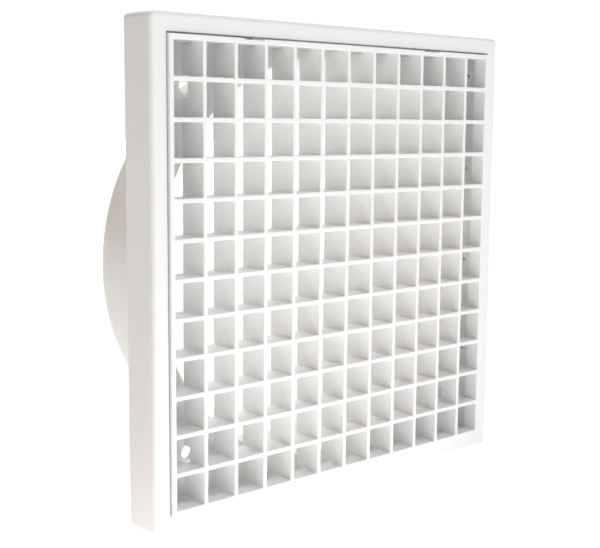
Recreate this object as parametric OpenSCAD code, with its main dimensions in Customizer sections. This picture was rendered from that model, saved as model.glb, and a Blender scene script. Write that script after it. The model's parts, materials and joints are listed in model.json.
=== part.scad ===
// Egg-crate ventilation grille for a wall or ceiling, with a round spigot for 150 mm duct.
// Two mouldings: a wall body (bezel, tray, back plate and spigot in one piece) and an
// egg-crate insert that pushes into the tray from the front and pulls out for cleaning.
// The wall is the plane y = 0, the room is towards -Y, and z is up.

/* [Wall body] */
// Outside width and height of the square body
body_w = 167; // [165:1:176]
// Depth of the body from the wall to the front of the bezel
body_depth = 14.5; // [13.5:0.5:18]
// Thickness of the bezel and of the outer skirt
skin_t = 1.8; // [1.4:0.1:2.2]
// Thickness of the tray's four inner walls
tray_wall_t = 1.6; // [1.2:0.1:2.0]
// Thickness of the back plate
plate_t = 2.2; // [1.8:0.1:3]
// Radius along the bezel's outer edge and at its four corners
edge_r = 1.6; // [0.8:0.1:1.8]

/* [Spigot] */
// Outside diameter of the spigot, which slides into 150 mm duct
spigot_d = 149; // [145:0.5:150]
// Wall thickness of the spigot
spigot_t = 1.7; // [1.4:0.1:2.4]
// Length of the spigot behind the wall plane
spigot_len = 31; // [25:1:60]
// Length of the tapered lead-in at the free end
lead_in_len = 4; // [2:0.5:6]
// How much the lead-in takes off the radius
lead_in_drop = 1.1; // [0.4:0.1:1.2]

/* [Egg-crate insert] */
// Number of cells across and up
cells = 12; // [12:1:12]
// Distance between blade centres
cell_pitch = 12.7; // [12.5:0.1:12.8]
// Thickness of a blade
blade_t = 1.5; // [1.2:0.1:1.8]
// Depth of a blade from front to back
blade_depth = 11.8; // [10:0.1:12]
// How far the insert stands in front of the bezel
insert_proud = 1; // [0:0.1:1.5]
// Width of the plain band around the cells, outside the outer blades' centres
band_out = 0.9; // [0.8:0.05:1.0]
// Thickness of the rim wall
rim_t = 1.7; // [1.3:0.1:2.0]
// Depth of the insert's shallow rim wall
rim_depth = 6; // [4:0.5:7]
// Clearance between the insert and the mouth on each side, when the insert is centred
insert_gap = 0.35; // [0.35:0.05:0.6]
// How far the insert sits below the middle of the mouth, down on the mouth's lower wall
insert_drop = 0.3; // [0:0.05:0.3]

/* [Notches] */
// Distance of each notch from the middle
notch_x = 43.3; // [30:0.1:60]
// Width of a notch in the insert's upper and lower edges
notch_w = 8.4; // [6:0.2:12]
// Depth of a notch
notch_depth = 0.4; // [0.4:0.05:0.6]

/* [Fixings] */
// Distance between the wall screws, across and up
screw_spacing = 123; // [118:0.5:126]
// Diameter of a wall screw's hole
screw_d = 5; // [4:0.1:5.5]
// Diameter of the round cut that clears a screw's head, behind the blades
relief_d = 9; // [8:0.5:14]
// How far that cut shortens the blades, measured from their back edges
relief_depth = 3.8; // [3:0.1:5]

/* [Flap sockets] */
// Number of unused flap sockets up each side wall of the tray
socket_count = 4; // [4:1:4]
// Distance from one socket to the next
socket_step = 37.2; // [36:0.1:38]
// Height of the top socket above the middle of the body
socket_top_z = 68.8; // [66:0.1:70]

/* [Hidden] */
$fn = 96;
eps = 0.01;
plastic = [0.95, 0.95, 0.94];
insert_plastic = [0.97, 0.97, 0.965];

front_y = -body_depth;                          // front of the bezel
insert_front_y = front_y - insert_proud;        // front of the blades
plate_front_y = -plate_t;                       // front of the back plate
core_half = cells * cell_pitch / 2;             // middle to an outer blade's centre
insert_w = 2 * (core_half + band_out);
mouth_w = insert_w + 2 * insert_gap;            // the square mouth that takes the insert
tray_w = mouth_w + 2 * tray_wall_t;             // outside of the tray's inner walls
skirt_inner_w = body_w - 2 * skin_t;            // inside of the outer skirt
spigot_r = spigot_d / 2;
bore_r = spigot_r - spigot_t;

rib_t = 1.2;                                    // ribs that bridge the channel behind the bezel
rib_step = 28;
rib_reach = 2;                                  // ribs on each side of the middle one
rib_setback = 1.5;                              // ribs stop short of the wall

nib_w = notch_w - 1.2;                          // body's nib that lies in a notch's back end
nib_setback = 4.3;                              // nib starts behind the bezel's front
nib_len = 2.5;
nib_bite = 0.25;                                // how far a nib reaches into its notch

socket_y = -5.7;                                // middle of the sockets, in depth
socket_slot = [2, 1];                           // slot through the tray wall, in y and z
socket_rise = 3;                                // from a slot up to its stop pip
pip_r = 0.8;
pip_proud = 0.45;

// A square block about the Y axis, from depth y0 to depth y1.
module square_block(w, y0, y1) {
    translate([-w / 2, y0, -w / 2]) cube([w, y1 - y0, w]);
}

// The body's outer envelope: a square slab whose front edge and corners are rounded.
module rounded_slab(w, y0, y1, r) {
    c = w / 2 - r;
    hull() for (x = [-c, c], z = [-c, c]) {
        translate([x, y0 + r, z]) sphere(r = r, $fn = 32);
        translate([x, y1, z]) rotate([90, 0, 0]) cylinder(r = r, h = y1 - y0 - r, $fn = 32);
    }
}

// One straight cylinder about the Y axis, from depth y0 to depth y1.
module bar_y(r, y0, y1) {
    translate([0, y0, 0]) rotate([-90, 0, 0]) cylinder(r = r, h = y1 - y0);
}

// Places its children at the four wall screws.
module at_screws() {
    for (x = [-1, 1], z = [-1, 1])
        translate([x * screw_spacing / 2, 0, z * screw_spacing / 2]) children();
}

// The spigot with its bore, as a turned profile about the Y axis.
module spigot() {
    rotate([-90, 0, 0]) rotate_extrude($fn = 128) polygon([
        [bore_r, -plate_t],
        [spigot_r, -plate_t],
        [spigot_r, spigot_len - lead_in_len],
        [spigot_r - lead_in_drop, spigot_len],
        [bore_r, spigot_len],
    ]);
}

// Ribs that bridge the open channel between the outer skirt and the tray wall.
module channel_ribs() {
    channel_mid = (tray_w + skirt_inner_w) / 4;
    channel_w = (skirt_inner_w - tray_w) / 2;
    for (quarter = [0 : 3]) rotate([0, 90 * quarter, 0])
        for (i = [-rib_reach : rib_reach])
            translate([i * rib_step - rib_t / 2, front_y + skin_t / 2, channel_mid - channel_w / 2 - eps])
                cube([rib_t, body_depth - skin_t / 2 - rib_setback, channel_w + 2 * eps]);
}

// Nibs on the mouth's upper and lower walls, deep in the insert's notches.
module nibs() {
    for (x = [-notch_x, notch_x]) {
        top_z = insert_w / 2 - insert_drop - nib_bite;
        translate([x - nib_w / 2, front_y + nib_setback, top_z])
            cube([nib_w, nib_len, mouth_w / 2 - top_z + eps]);
        low_z = -insert_w / 2 - insert_drop + nib_bite;
        translate([x - nib_w / 2, front_y + nib_setback, -mouth_w / 2 - eps])
            cube([nib_w, nib_len, low_z + mouth_w / 2 + eps]);
    }
}

// Places its children at every flap socket, with +X pointing into the tray wall.
module at_sockets() {
    for (side = [0, 1], i = [0 : socket_count - 1])
        mirror([side, 0, 0])
            translate([mouth_w / 2, socket_y, socket_top_z - i * socket_step]) children();
}

module wall_body() {
    color(plastic) {
        difference() {
            union() {
                // outer skirt and bezel
                difference() {
                    rounded_slab(body_w, front_y, 0, edge_r);
                    square_block(skirt_inner_w, front_y + skin_t, 1);
                    square_block(mouth_w, front_y - 1, front_y + skin_t + 1);
                }
                // tray walls and back plate
                difference() {
                    square_block(tray_w, front_y + skin_t / 2, 0);
                    square_block(mouth_w, front_y - 1, plate_front_y);
                }
                channel_ribs();
                nibs();
                spigot();
                // stop pips above the flap sockets
                at_sockets() translate([-pip_proud, 0, socket_rise])
                    rotate([0, 90, 0]) cylinder(r = pip_r, h = pip_proud + eps, $fn = 24);
            }
            bar_y(bore_r, -plate_t - 1, spigot_len + 1);
            at_screws() bar_y(screw_d / 2, -plate_t - 1, 1);
            at_sockets() translate([-eps, -socket_slot[0] / 2, -socket_slot[1] / 2])
                cube([tray_wall_t + 2 * eps, socket_slot[0], socket_slot[1]]);
        }
    }
}

// The insert's plain band and shallow rim wall, with its four notches.
module insert_rim() {
    difference() {
        square_block(insert_w, insert_front_y, insert_front_y + rim_depth);
        square_block(insert_w - 2 * rim_t, insert_front_y - 1, insert_front_y + rim_depth + 1);
        for (x = [-notch_x, notch_x], z = [-1, 1])
            translate([x, insert_front_y + rim_depth / 2, z * insert_w / 2])
                cube([notch_w, rim_depth + 2, 2 * notch_depth], center = true);
    }
}

// One blade of the egg crate, standing at x and running up the insert.
module blade(x) {
    translate([x - blade_t / 2, insert_front_y, -core_half])
        cube([blade_t, blade_depth, 2 * core_half]);
}

module egg_crate_insert() {
    blade_back_y = insert_front_y + blade_depth;
    color(insert_plastic) translate([0, 0, -insert_drop]) difference() {
        union() {
            insert_rim();
            for (i = [1 : cells - 1]) {
                blade(i * cell_pitch - core_half);
                rotate([0, 90, 0]) blade(i * cell_pitch - core_half);
            }
        }
        at_screws() bar_y(relief_d / 2, blade_back_y - relief_depth, blade_back_y + 1);
    }
}

wall_body();
egg_crate_insert();
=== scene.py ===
"""Egg-crate ventilation grille with a duct spigot: the looks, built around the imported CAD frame.

Everything is in metres. The wall is the plane y = 0, the room is towards -Y, and z is up.
"""

import json
import math

import bmesh
import bpy
from mathutils import Matrix, Vector
from mathutils.geometry import delaunay_2d_cdt


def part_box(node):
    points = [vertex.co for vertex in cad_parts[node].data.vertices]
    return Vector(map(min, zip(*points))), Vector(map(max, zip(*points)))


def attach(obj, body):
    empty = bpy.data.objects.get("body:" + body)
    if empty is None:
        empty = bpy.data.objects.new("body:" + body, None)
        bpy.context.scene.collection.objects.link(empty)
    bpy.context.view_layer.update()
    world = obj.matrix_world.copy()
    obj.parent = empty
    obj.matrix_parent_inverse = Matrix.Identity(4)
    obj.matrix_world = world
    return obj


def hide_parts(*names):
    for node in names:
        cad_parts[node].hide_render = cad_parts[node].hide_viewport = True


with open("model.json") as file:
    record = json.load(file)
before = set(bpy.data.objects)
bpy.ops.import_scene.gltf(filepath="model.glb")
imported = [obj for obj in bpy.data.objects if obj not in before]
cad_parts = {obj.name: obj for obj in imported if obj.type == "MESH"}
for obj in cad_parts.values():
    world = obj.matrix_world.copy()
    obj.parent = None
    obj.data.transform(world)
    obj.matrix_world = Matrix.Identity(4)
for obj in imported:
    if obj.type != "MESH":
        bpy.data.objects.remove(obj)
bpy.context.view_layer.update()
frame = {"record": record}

# ---------------------------------------------------------------------------------------------
# Sizes: what the frame says, then the mouldings' own thicknesses and radii
# ---------------------------------------------------------------------------------------------
MM = 0.001
mounts = {m["name"]: m for m in frame["record"]["mounts"]}
body_low, body_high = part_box("wall_body")
insert_low, insert_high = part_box("egg_crate_insert")

# Insert
INSERT_HALF = insert_high.x
INSERT_FRONT = insert_low.y
INSERT_BACK = insert_high.y
INSERT_Z = (insert_low.z + insert_high.z) / 2
RIM_INNER = INSERT_HALF - 1.7 * MM
RIM_DEPTH = 6 * MM
RIM_EDGE = 0.15 * MM          # rounding
CELLS = 12                    # each way
PITCH = 12.7 * MM
BLADE = 1.5 * MM              # thickness in front
BLADE_BACK = 1.2 * MM         # thickness at the back
BLADE_EDGE = 0.25 * MM        # rounding along a blade
CELL_CORNER = 0.5 * MM        # rounding where two blades meet
RELIEF_R = 4.5 * MM           # clearance behind the blades for a screw's head
RELIEF_DEPTH = 3.8 * MM

# Wall body
BODY_HALF = body_high.x
BEZEL_Y = body_low.y
SKIN = 1.8 * MM               # thickness of the bezel and the skirt
TRAY_WALL = 1.6 * MM
PLATE_Y = -2.2 * MM           # the back plate's room side
MOUTH_HALF = INSERT_HALF + 0.35 * MM
ARRIS = 1.6 * MM              # rounding between the bezel and the skirt
OUTER_CORNER = 2 * MM         # corner radii of the square outline
MOUTH_CORNER = 0.5 * MM
TRAY_CORNER = 0.9 * MM
LEAST_CORNER = 0.3 * MM

# Spigot and screw holes
SPIGOT_END = body_high.y
SPIGOT_R = mounts["duct_spigot"]["dims"]["r_mm"] * MM
BORE_R = SPIGOT_R - 1.7 * MM
LEAD_IN_LENGTH = 4 * MM
LEAD_IN_DROP = 1.1 * MM
SCREW_R = mounts["wall_screws"]["dims"]["hole_r_mm"] * MM
SCREW_X = mounts["wall_screws"]["dims"]["spacing_x_mm"] * MM / 2
HOLE_EDGE = 0.25 * MM         # rounding

# Notches in the insert's rim, and the nibs that lie in them
NOTCH_X = 43.3 * MM
NOTCH_HALF = 4.2 * MM
NOTCH_FLOOR = INSERT_HALF - 0.4 * MM
NIB_HALF = 3.6 * MM
NIB_SETBACK = 4.3 * MM
NIB_LENGTH = 2.5 * MM
NIB_BITE = 0.25 * MM
NIB_EDGE = 0.12 * MM

# Flap sockets on each side of the mouth, with a pip above each
SOCKETS = 4
SOCKET_STEP = 37.2 * MM
SOCKET_TOP = 68.8 * MM
SOCKET_Y = -5.7 * MM
SLOT_Y = 2 * MM
SLOT_Z = 1 * MM
PIP_RISE = 3 * MM             # from the slot up to the pip's middle
PIP_R = 0.8 * MM
PIP_PROUD = 0.45 * MM
PIP_LEVELS = (-0.6, 0.35, 0.75, 0.95)  # shares of PIP_PROUD; the first is inside the wall
PIP_STRAIGHT = 0.5            # the share of PIP_PROUD up to which a pip is a plain cylinder
PIP_DOME = 1.15               # the share of PIP_PROUD at which its domed top would close

# Ribs in the channel behind the bezel
RIB = 1.2 * MM
RIB_STEP = 28 * MM
RIB_REACH = 2                 # ribs on each side of the middle one
RIB_SETBACK = 1.5 * MM
RIB_EDGE = 0.15 * MM

# ---------------------------------------------------------------------------------------------
# Settings of the mesh work
# ---------------------------------------------------------------------------------------------
OVERCUT = 1 * MM              # how far a cutter reaches past the surface that it opens
TINY = 1e-6
WELD = 1e-7                   # points closer than this are one point
ROUND_STEPS = 192             # points round the spigot
HOLE_STEPS = 40               # points round a screw hole
PIP_STEPS = 20                # points round a pip
ARC_STEPS = 6                 # steps in a small rounded edge
HOLE_ARC_STEPS = 3            # steps in a screw hole's rounded edge
BEVEL_STEPS = 3               # steps in the insert's rounded edges
WITH_HOLES = 2                # the triangulation's mode that leaves the inner loops open
SQUARE_EDGE = math.radians(30)  # an edge of the insert sharper than this is rounded
CRISP = math.radians(50)      # an edge sharper than this isn't shaded as a round
ALONG_Y = 0.9                 # the least share of Y in the direction of an edge that runs inwards
GRID_SIDES = (                # the way each side of a grid's cell looks, and its corners
    ((1, 0, 0), ((1, 0, 0), (1, 1, 0), (1, 1, 1), (1, 0, 1))),
    ((-1, 0, 0), ((0, 0, 0), (0, 0, 1), (0, 1, 1), (0, 1, 0))),
    ((0, 1, 0), ((0, 1, 0), (0, 1, 1), (1, 1, 1), (1, 1, 0))),
    ((0, -1, 0), ((0, 0, 0), (1, 0, 0), (1, 0, 1), (0, 0, 1))),
    ((0, 0, 1), ((0, 0, 1), (1, 0, 1), (1, 1, 1), (0, 1, 1))),
    ((0, 0, -1), ((0, 0, 0), (0, 1, 0), (1, 1, 0), (1, 0, 0))),
)

# ---------------------------------------------------------------------------------------------
# Settings of the camera, the studio and the materials
# ---------------------------------------------------------------------------------------------
CAMERA_PLACE = (-0.2794, -0.3017, 0.0504)
CAMERA_HEADING = math.radians(41.89)   # from +Y towards +X
CAMERA_PITCH = math.radians(7.8)       # downwards
CAMERA_ROLL = math.radians(0.43)
CAMERA_LENS = 67.06                    # mm, on a sensor 36 mm wide

WHITE = (1, 1, 1)
DIM_SIDE = (-0.94, 0.34, 0)            # towards the dim side of the studio
DIM_FADE = (-0.1, 0.65)                # cosines to DIM_SIDE between which the tone changes
LIT_TONE = (0.96, 0.98, 1)
DIM_TONE = (0.16, 0.08, 0)
BACK_FADE = (-0.1, 0.3)                # cosines to +Y between which the strength changes
BACK_STRENGTH = (0.54, 0.85)           # in front of the object and behind it
SEEN_EXTRA = 0.25                      # how much brighter the camera sees the backdrop

FLOOR_HALF = 6
GLOW_MIDDLE = (-0.04, -0.1)            # on the floor, in x and y
GLOW_REACH = 0.2
GLOW = (1.85, 0.3)                     # in the middle, and past the reach
HORIZON = (0.5, 1.1)                   # distances between which the horizon's glow grows
HORIZON_GLOW = 0.8

MIX_FACTOR, MIX_A, MIX_B, MIX_RESULT = 0, 6, 7, 2  # the Mix node's sockets for colours


# ---------------------------------------------------------------------------------------------
# Camera
# ---------------------------------------------------------------------------------------------
def add_camera():
    """Looks from the room, from the left and a little above the middle."""
    data = bpy.data.cameras.new("camera")
    data.sensor_width = 36
    data.lens = CAMERA_LENS
    data.clip_start = 0.01
    data.clip_end = 100
    camera = bpy.data.objects.new("camera", data)
    bpy.context.scene.collection.objects.link(camera)
    camera.matrix_world = (
        Matrix.Translation(CAMERA_PLACE)
        @ Matrix.Rotation(-CAMERA_HEADING, 4, "Z")
        @ Matrix.Rotation(math.pi / 2 - CAMERA_PITCH, 4, "X")
        @ Matrix.Rotation(CAMERA_ROLL, 4, "Z")
    )
    bpy.context.scene.camera = camera


# ---------------------------------------------------------------------------------------------
# Mesh helpers
# ---------------------------------------------------------------------------------------------
def arc(half, y, radius, start, end, steps=ARC_STEPS):
    """Profile points (half-width, y) on an arc, from one angle to another, in degrees."""
    points = []
    for i in range(steps + 1):
        a = math.radians(start + (end - start) * i / steps)
        points.append((half + radius * math.cos(a), y + radius * math.sin(a)))
    return points


def square_ring(bm, half, corner, y):
    """Vertices on a square with round corners, about the Y axis."""
    ring = []
    for quarter in range(4):
        a0 = quarter * math.pi / 2
        mid = a0 + math.pi / 4
        cx = math.copysign(half - corner, math.cos(mid))
        cz = math.copysign(half - corner, math.sin(mid))
        for i in range(ARC_STEPS + 1):
            a = a0 + math.pi / 2 * i / ARC_STEPS
            ring.append(bm.verts.new((cx + corner * math.cos(a), y, cz + corner * math.sin(a))))
    return ring


def round_ring(bm, radius, y, steps=ROUND_STEPS, cx=0.0, cz=0.0):
    """Vertices on a circle about a line along Y."""
    turn = 2 * math.pi / steps
    return [
        bm.verts.new((cx + radius * math.cos(i * turn), y, cz + radius * math.sin(i * turn)))
        for i in range(steps)
    ]


def bridge(bm, ring_a, ring_b):
    """A closed band of quads between two rings of equal length."""
    n = len(ring_a)
    for i in range(n):
        j = (i + 1) % n
        bm.faces.new((ring_a[i], ring_a[j], ring_b[j], ring_b[i]))


def loft(bm, rings):
    """Bands between each ring and the next."""
    for a, b in zip(rings, rings[1:]):
        bridge(bm, a, b)


def fill_plate(bm, outer, holes):
    """A flat sheet, in the plane of its rings, from the outer ring to the holes' rings."""
    rings = [outer, *holes]
    verts = [v for ring in rings for v in ring]
    loops, start = [], 0
    for ring in rings:
        loops.append(list(range(start, start + len(ring))))
        start += len(ring)
    flat = [Vector((v.co.x, v.co.z)) for v in verts]
    _, _, faces, sources, _, _ = delaunay_2d_cdt(flat, [], loops, WITH_HOLES, WELD)
    for face in faces:
        bm.faces.new([verts[sources[i][0]] for i in face])


def add_box(bm, low, high):
    """A closed box between two corners. Returns its vertices."""
    made = bmesh.ops.create_cube(bm, size=1)["verts"]
    for v in made:
        for k in range(3):
            v.co[k] = low[k] if v.co[k] < 0 else high[k]
    return made


def soften(bm, verts, width, steps=2):
    """Rounds every edge of a box."""
    edges = list({e for v in verts for e in v.link_edges})
    bmesh.ops.bevel(bm, geom=edges, offset=width, segments=steps, profile=0.5, affect="EDGES")


def shade(obj):
    """Smooth shading that breaks at every edge sharper than a rounded one."""
    obj.data.shade_smooth()
    obj.data.set_sharp_from_angle(angle=CRISP)


def finish_mesh(bm, name, smooth=True):
    """Turns the bmesh into an object with outward faces."""
    bmesh.ops.remove_doubles(bm, verts=bm.verts, dist=WELD)
    bmesh.ops.recalc_face_normals(bm, faces=bm.faces)
    mesh = bpy.data.meshes.new(name)
    bm.to_mesh(mesh)
    bm.free()
    obj = bpy.data.objects.new(name, mesh)
    bpy.context.scene.collection.objects.link(obj)
    if smooth:
        shade(obj)
    return obj


def apply_modifiers(obj):
    """Bakes an object's modifiers into its mesh."""
    graph = bpy.context.evaluated_depsgraph_get()
    mesh = bpy.data.meshes.new_from_object(obj.evaluated_get(graph))
    obj.modifiers.clear()
    obj.data = mesh


def weigh_normals(obj):
    """Keeps the broad flat faces flat between their rounded edges."""
    modifier = obj.modifiers.new("flat_faces", "WEIGHTED_NORMAL")
    modifier.mode = "FACE_AREA"
    modifier.weight = 60
    modifier.keep_sharp = True


def cut(obj, bm):
    """Cuts the closed shapes in bm out of an object, then shades it again."""
    cutter = finish_mesh(bm, "cutter", smooth=False)
    modifier = obj.modifiers.new("cuts", "BOOLEAN")
    modifier.operation = "DIFFERENCE"
    modifier.solver = "EXACT"
    modifier.object = cutter
    apply_modifiers(obj)
    bpy.data.objects.remove(cutter)
    shade(obj)
    weigh_normals(obj)


# ---------------------------------------------------------------------------------------------
# Wall body
# ---------------------------------------------------------------------------------------------
def corner_of(half):
    """Corner radius of the body's outline where it is this half-width."""
    if half > BODY_HALF - SKIN:
        radius = OUTER_CORNER - (BODY_HALF - half)
    else:
        radius = min(MOUTH_CORNER + abs(half - MOUTH_HALF), TRAY_CORNER)
    return max(LEAST_CORNER, radius)


def body_profile():
    """Half-width and y along the body's section, from the plate's front round to its back."""
    skirt_in = BODY_HALF - SKIN
    tray_out = MOUTH_HALF + TRAY_WALL
    roof = BEZEL_Y + SKIN
    fillet, lip, edge = 0.8 * MM, 0.35 * MM, 0.4 * MM
    points = []
    points += arc(MOUTH_HALF - fillet, PLATE_Y - fillet, fillet, 90, 0)
    points += arc(MOUTH_HALF + lip, BEZEL_Y + lip, lip, 180, 270)
    points += arc(BODY_HALF - ARRIS, BEZEL_Y + ARRIS, ARRIS, 270, 360)
    points += arc(BODY_HALF - edge, -edge, edge, 0, 90)
    points += arc(skirt_in + edge, -edge, edge, 90, 180)
    points += arc(skirt_in - edge, roof + edge, edge, 0, -90)
    points += arc(tray_out + edge, roof + edge, edge, 270, 180)
    points += arc(tray_out - edge, -edge, edge, 0, 90)
    return points


def spigot_profile():
    """Radius and y along the spigot's section: from the plate's front down the bore and back."""
    edge, lip, root = 0.3 * MM, 0.28 * MM, 1.2 * MM
    end_r = SPIGOT_R - LEAD_IN_DROP
    points = []
    points += arc(BORE_R + edge, PLATE_Y + edge, edge, 270, 180)
    points += arc(BORE_R + lip, SPIGOT_END - lip, lip, 180, 90)
    points += arc(end_r - lip, SPIGOT_END - lip, lip, 90, 15)
    points += [(SPIGOT_R, SPIGOT_END - LEAD_IN_LENGTH)]
    points += arc(SPIGOT_R + root, root, root, 180, 270)
    return points


def hole_profile():
    """Radius and y along a screw hole's section, from the plate's front to its back."""
    points = arc(SCREW_R + HOLE_EDGE, PLATE_Y + HOLE_EDGE, HOLE_EDGE, 270, 180, HOLE_ARC_STEPS)
    points += arc(SCREW_R + HOLE_EDGE, -HOLE_EDGE, HOLE_EDGE, 180, 90, HOLE_ARC_STEPS)
    return points


def screw_places():
    """The middle of each screw hole, in x and z."""
    return [(sx * SCREW_X, sz * SCREW_X) for sx in (-1, 1) for sz in (-1, 1)]


def build_body_shell():
    """Bezel, skirt, tray, plate and spigot as one closed skin."""
    bm = bmesh.new()
    rings = [square_ring(bm, half, corner_of(half), y) for half, y in body_profile()]
    loft(bm, rings)
    spigot = [round_ring(bm, r, y) for r, y in spigot_profile()]
    loft(bm, spigot)
    front_holes, back_holes = [], []
    for x, z in screw_places():
        hole = [round_ring(bm, r, y, HOLE_STEPS, x, z) for r, y in hole_profile()]
        loft(bm, hole)
        front_holes.append(hole[0])
        back_holes.append(hole[-1])
    fill_plate(bm, rings[0], [spigot[0], *front_holes])
    fill_plate(bm, rings[-1], [spigot[-1], *back_holes])
    return finish_mesh(bm, "body_shell")


def socket_places():
    """Side and height of each flap socket."""
    return [(side, SOCKET_TOP - i * SOCKET_STEP) for side in (-1, 1) for i in range(SOCKETS)]


def cut_sockets(shell):
    """Cuts the flap sockets' slots through the tray's side walls."""
    inner = MOUTH_HALF - OVERCUT
    outer = MOUTH_HALF + TRAY_WALL + OVERCUT / 2
    bm = bmesh.new()
    for side, z in socket_places():
        x0, x1 = sorted((side * inner, side * outer))
        low = (x0, SOCKET_Y - SLOT_Y / 2, z - SLOT_Z / 2)
        high = (x1, SOCKET_Y + SLOT_Y / 2, z + SLOT_Z / 2)
        add_box(bm, low, high)
    cut(shell, bm)


def build_stop_pips():
    """The low round pips above the flap sockets: short cylinders with domed tops."""
    bm = bmesh.new()
    for side, z in socket_places():
        rings = []
        for level in PIP_LEVELS:
            dome = 1 if level < PIP_STRAIGHT else math.sqrt(PIP_DOME - level)
            ring = round_ring(bm, PIP_R * dome, 0, PIP_STEPS)
            x = side * (MOUTH_HALF - PIP_PROUD * level)
            for v in ring:
                v.co = Vector((x, SOCKET_Y + v.co.x, z + PIP_RISE + v.co.z))
            rings.append(ring)
        loft(bm, rings)
        bm.faces.new(rings[0])
        bm.faces.new(rings[-1])
    return finish_mesh(bm, "stop_pips")


def build_nibs():
    """Nibs on the mouth's upper and lower walls, deep in the insert's notches."""
    bm = bmesh.new()
    root = MOUTH_HALF + TRAY_WALL / 2
    y0 = BEZEL_Y + NIB_SETBACK
    top = INSERT_Z + INSERT_HALF - NIB_BITE
    bottom = INSERT_Z - INSERT_HALF + NIB_BITE
    for x in (-NOTCH_X, NOTCH_X):
        for z0, z1 in ((top, root), (-root, bottom)):
            made = add_box(bm, (x - NIB_HALF, y0, z0), (x + NIB_HALF, y0 + NIB_LENGTH, z1))
            soften(bm, made, NIB_EDGE)
    return finish_mesh(bm, "nibs")


def build_channel_ribs():
    """Ribs across the open channel behind the bezel, each end a little inside its wall."""
    bm = bmesh.new()
    sunk = TRAY_WALL / 3
    near, far = MOUTH_HALF + TRAY_WALL - sunk, BODY_HALF - SKIN + sunk
    for quarter in range(4):
        turn = Matrix.Rotation(quarter * math.pi / 2, 4, "Y")
        for i in range(-RIB_REACH, RIB_REACH + 1):
            x = i * RIB_STEP
            low = (x - RIB / 2, BEZEL_Y + SKIN / 2, near)
            high = (x + RIB / 2, -RIB_SETBACK, far)
            made = add_box(bm, low, high)
            for v in made:
                v.co = turn @ v.co
            soften(bm, made, RIB_EDGE, 1)
    return finish_mesh(bm, "channel_ribs")


# ---------------------------------------------------------------------------------------------
# Egg-crate insert
# ---------------------------------------------------------------------------------------------
def blade_lines():
    """Where the blades between the cells stand, from the insert's middle."""
    return [(i - CELLS / 2) * PITCH for i in range(1, CELLS)]


def in_blade(u):
    """Whether a distance from the insert's middle is inside a blade."""
    return any(abs(u - line) < BLADE / 2 for line in blade_lines())


def is_plastic(x, y, z):
    """Whether a point, with x and z from the insert's middle, is inside the insert."""
    if max(abs(x), abs(z)) < RIM_INNER:
        return in_blade(x) or in_blade(z)
    return y < INSERT_FRONT + RIM_DEPTH


def grid_lines():
    """Every place along one side of the insert where its shape may change."""
    lines = {sign * place for place in (INSERT_HALF, RIM_INNER) for sign in (-1, 1)}
    lines |= {line + side * BLADE / 2 for line in blade_lines() for side in (-1, 1)}
    return sorted(lines)


def taper(u, y):
    """Moves a blade's side towards the blade's middle at the back, as the mould's draft does."""
    for line in blade_lines():
        if abs(abs(u - line) - BLADE / 2) < TINY:
            share = (y - INSERT_FRONT) / (INSERT_BACK - INSERT_FRONT)
            return line + math.copysign((BLADE + (BLADE_BACK - BLADE) * share) / 2, u - line)
    return u


def plastic_cells(xs, ys, zs):
    """The cells of the grid that are inside the insert, in a fixed order."""
    return [
        (i, j, k)
        for i, (x0, x1) in enumerate(zip(xs, xs[1:]))
        for j, (y0, y1) in enumerate(zip(ys, ys[1:]))
        for k, (z0, z1) in enumerate(zip(zs, zs[1:]))
        if is_plastic((x0 + x1) / 2, (y0 + y1) / 2, (z0 + z1) / 2)
    ]


def crate_mesh():
    """The egg crate's skin on a grid, with square edges and its blades thinner at the back."""
    xs = zs = grid_lines()
    ys = [INSERT_FRONT, INSERT_FRONT + RIM_DEPTH, INSERT_BACK]
    cells = plastic_cells(xs, ys, zs)
    solid = set(cells)
    bm = bmesh.new()
    corners = {}

    def corner(i, j, k):
        if (i, j, k) not in corners:
            place = (taper(xs[i], ys[j]), ys[j], taper(zs[k], ys[j]))
            corners[i, j, k] = bm.verts.new(place)
        return corners[i, j, k]

    for i, j, k in cells:
        for (di, dj, dk), quad in GRID_SIDES:
            if (i + di, j + dj, k + dk) not in solid:
                bm.faces.new([corner(i + a, j + b, k + c) for a, b, c in quad])
    bm.normal_update()
    return bm


def weigh_edges(bm):
    """Wide rounding in the cells' corners, finer along the blades, finest round the rim."""
    weight = bm.edges.layers.float.new("bevel_weight_edge")
    for edge in bm.edges:
        if edge.calc_face_angle(0) > SQUARE_EDGE:
            a, b = (v.co for v in edge.verts)
            reach = max(abs(a.x), abs(a.z), abs(b.x), abs(b.z))
            radius = BLADE_EDGE
            if reach > RIM_INNER + TINY:
                radius = RIM_EDGE
            elif abs((a - b).normalized().y) > ALONG_Y:
                radius = CELL_CORNER
            edge[weight] = radius / CELL_CORNER


def round_edges(obj):
    """Rounds each edge by its own weight."""
    bevel = obj.modifiers.new("rounded_edges", "BEVEL")
    bevel.width = CELL_CORNER
    bevel.segments = BEVEL_STEPS
    bevel.limit_method = "WEIGHT"
    bevel.use_clamp_overlap = False
    apply_modifiers(obj)


def cut_insert(obj):
    """Cuts the notches in the rim, and the clearance for the screws' heads behind the blades."""
    bm = bmesh.new()
    for side in (-1, 1):
        floor, past = side * NOTCH_FLOOR, side * (INSERT_HALF + OVERCUT)
        z0, z1 = sorted((INSERT_Z + floor, INSERT_Z + past))
        for x in (-NOTCH_X, NOTCH_X):
            low = (x - NOTCH_HALF, INSERT_FRONT - OVERCUT, z0)
            high = (x + NOTCH_HALF, INSERT_FRONT + RIM_DEPTH + OVERCUT, z1)
            add_box(bm, low, high)
    for x, z in screw_places():
        ends = (INSERT_BACK - RELIEF_DEPTH, INSERT_BACK + OVERCUT)
        rings = [round_ring(bm, RELIEF_R, y, HOLE_STEPS, x, z + INSERT_Z) for y in ends]
        loft(bm, rings)
        for ring in rings:
            bm.faces.new(ring)
    cut(obj, bm)


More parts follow.
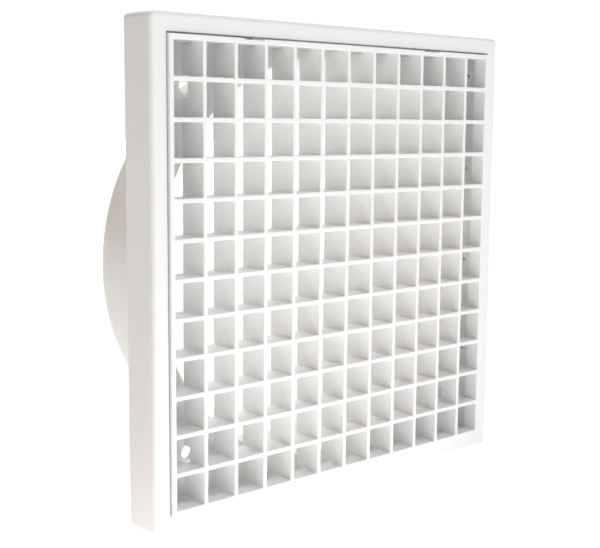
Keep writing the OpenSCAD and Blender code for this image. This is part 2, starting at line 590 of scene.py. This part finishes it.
def build_insert():
    """The egg crate as one closed mesh: a grid, then its edges' rounding, then its cuts."""
    bm = crate_mesh()
    weigh_edges(bm)
    for v in bm.verts:
        v.co.z += INSERT_Z
    crate = finish_mesh(bm, "egg_crate")
    round_edges(crate)
    cut_insert(crate)
    return crate


# ---------------------------------------------------------------------------------------------
# Node helpers
# ---------------------------------------------------------------------------------------------
def principled(name):
    """A new material, with its node tree and its shader's inputs."""
    material = bpy.data.materials.new(name)
    material.use_nodes = True
    tree = material.node_tree
    return material, tree, tree.nodes["Principled BSDF"].inputs


def noise(tree, place, scale, detail):
    """A noise texture's value at a place."""
    node = tree.nodes.new("ShaderNodeTexNoise")
    node.inputs["Scale"].default_value = scale
    node.inputs["Detail"].default_value = detail
    tree.links.new(place, node.inputs["Vector"])
    return node.outputs["Fac"]


def bump(tree, height, strength, distance, under=None):
    """The surface's normal with a relief on it, over another relief if one is given."""
    node = tree.nodes.new("ShaderNodeBump")
    node.inputs["Strength"].default_value = strength
    node.inputs["Distance"].default_value = distance
    tree.links.new(height, node.inputs["Height"])
    if under:
        tree.links.new(under, node.inputs["Normal"])
    return node.outputs["Normal"]


def remap(tree, value, source, target, kind="SMOOTHSTEP"):
    """A value taken from one range to another, and held at the ends."""
    node = tree.nodes.new("ShaderNodeMapRange")
    node.interpolation_type = kind
    names = ("From Min", "From Max", "To Min", "To Max")
    for name, number in zip(names, (*source, *target)):
        node.inputs[name].default_value = number
    tree.links.new(value, node.inputs["Value"])
    return node.outputs["Result"]


def mix(tree, factor, first, second):
    """A mix from one colour to another. Each is a colour, or another node's output."""
    node = tree.nodes.new("ShaderNodeMix")
    node.data_type = "RGBA"
    tree.links.new(factor, node.inputs[MIX_FACTOR])
    for socket, colour in ((MIX_A, first), (MIX_B, second)):
        if isinstance(colour, tuple):
            node.inputs[socket].default_value = (*colour, 1)
        else:
            tree.links.new(colour, node.inputs[socket])
    return node.outputs[MIX_RESULT]


# ---------------------------------------------------------------------------------------------
# Materials
# ---------------------------------------------------------------------------------------------
def white_plastic(name, dark, light, roughness):
    """Moulded white plastic: faint clouding, a fine spark-eroded grain and soft flow marks."""
    material, tree, surface = principled(name)
    surface["IOR"].default_value = 1.53
    surface["Subsurface Weight"].default_value = 0.12
    surface["Subsurface Radius"].default_value = (1.0, 0.9, 0.75)
    surface["Subsurface Scale"].default_value = 1.2 * MM
    place = tree.nodes.new("ShaderNodeTexCoord").outputs["Object"]
    clouds = noise(tree, place, scale=22, detail=3)
    grain = noise(tree, place, scale=2600, detail=2)
    flow = noise(tree, place, scale=60, detail=2)
    colour = mix(tree, clouds, dark, light)
    gloss = remap(tree, flow, (0, 1), roughness, "LINEAR")
    fine = bump(tree, grain, strength=0.12, distance=0.02 * MM)
    broad = bump(tree, flow, strength=0.25, distance=0.05 * MM, under=fine)
    tree.links.new(colour, surface["Base Color"])
    tree.links.new(gloss, surface["Roughness"])
    tree.links.new(broad, surface["Normal"])
    return material


def dress(obj, material, body):
    """Gives a piece its material and body."""
    obj.data.materials.clear()
    obj.data.materials.append(material)
    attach(obj, body)


# ---------------------------------------------------------------------------------------------
# Studio
# ---------------------------------------------------------------------------------------------
def glowing_white(name):
    """White that glows like a light table, in the middle and again towards the horizon."""
    material, tree, surface = principled(name)
    surface["Base Color"].default_value = (0.9, 0.9, 0.9, 1)
    surface["Roughness"].default_value = 0.9
    surface["Emission Color"].default_value = (*WHITE, 1)
    place = tree.nodes.new("ShaderNodeTexCoord").outputs["Object"]
    length = tree.nodes.new("ShaderNodeVectorMath")
    length.operation = "LENGTH"
    tree.links.new(place, length.inputs[0])
    distance = length.outputs["Value"]
    total = tree.nodes.new("ShaderNodeMath")
    total.operation = "ADD"
    tree.links.new(remap(tree, distance, (0, GLOW_REACH), GLOW), total.inputs[0])
    tree.links.new(remap(tree, distance, HORIZON, (0, HORIZON_GLOW)), total.inputs[1])
    tree.links.new(total.outputs["Value"], surface["Emission Strength"])
    return material


def add_floor():
    """A wide pale floor under the body's lower edge, its glow centred in front of the body."""
    bm = bmesh.new()
    bmesh.ops.create_grid(bm, x_segments=1, y_segments=1, size=FLOOR_HALF)
    floor = finish_mesh(bm, "floor", smooth=False)
    floor.location = (*GLOW_MIDDLE, body_low.z)
    floor.data.materials.append(glowing_white("floor_white"))


def add_softbox(name, place, size, power, colour):
    """A round area light that looks at the object's middle."""
    data = bpy.data.lights.new(name, "AREA")
    data.shape = "DISK"
    data.size = size
    data.energy = power
    data.color = colour
    light = bpy.data.objects.new(name, data)
    bpy.context.scene.collection.objects.link(light)
    light.location = place
    light.rotation_mode = "QUATERNION"
    light.rotation_quaternion = (-Vector(place)).to_track_quat("-Z", "Y")


def add_world():
    """A white studio whose light is dim and a little warm at the object's left side.

    The camera sees its backdrop in plain white, and a little brighter than it lights.
    """
    world = bpy.data.worlds.new("studio")
    world.use_nodes = True
    bpy.context.scene.world = world
    tree = world.node_tree
    background = tree.nodes["Background"].inputs
    way = tree.nodes.new("ShaderNodeTexCoord").outputs["Generated"]
    seen = tree.nodes.new("ShaderNodeLightPath").outputs["Is Camera Ray"]

    dimness = tree.nodes.new("ShaderNodeVectorMath")
    dimness.operation = "DOT_PRODUCT"
    dimness.inputs[1].default_value = DIM_SIDE
    tree.links.new(way, dimness.inputs[0])
    tone = mix(tree, remap(tree, dimness.outputs["Value"], DIM_FADE, (0, 1)), LIT_TONE, DIM_TONE)
    tree.links.new(mix(tree, seen, tone, WHITE), background["Color"])

    split = tree.nodes.new("ShaderNodeSeparateXYZ")
    tree.links.new(way, split.inputs["Vector"])
    strength = tree.nodes.new("ShaderNodeMath")
    strength.operation = "MULTIPLY_ADD"
    strength.inputs[1].default_value = SEEN_EXTRA
    tree.links.new(seen, strength.inputs[0])
    tree.links.new(remap(tree, split.outputs["Y"], BACK_FADE, BACK_STRENGTH), strength.inputs[2])
    tree.links.new(strength.outputs["Value"], background["Strength"])


def add_studio():
    """World, floor and two softboxes."""
    add_world()
    add_floor()
    add_softbox("top_softbox", (0.25, -0.6, 1.1), size=1.0, power=3, colour=(0.94, 0.975, 1))
    add_softbox("back_softbox", (0.05, 0.5, 1.0), size=0.5, power=4.5, colour=(1, 0.98, 0.93))


# ---------------------------------------------------------------------------------------------
# Assembly
# ---------------------------------------------------------------------------------------------
bpy.context.scene.view_settings.view_transform = "Standard"
add_camera()

body_plastic = white_plastic(
    "body_plastic", dark=(0.915, 0.915, 0.91), light=(0.93, 0.93, 0.925), roughness=(0.31, 0.43)
)
insert_plastic = white_plastic(
    "insert_plastic", dark=(0.92, 0.92, 0.915), light=(0.935, 0.935, 0.93), roughness=(0.29, 0.41)
)

shell = build_body_shell()
cut_sockets(shell)
dress(shell, body_plastic, "wall_body")
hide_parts("wall_body")
for detail in (build_stop_pips(), build_nibs(), build_channel_ribs()):
    dress(detail, body_plastic, "wall_body")

insert = build_insert()
dress(insert, insert_plastic, "insert")
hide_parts("egg_crate_insert")

add_studio()
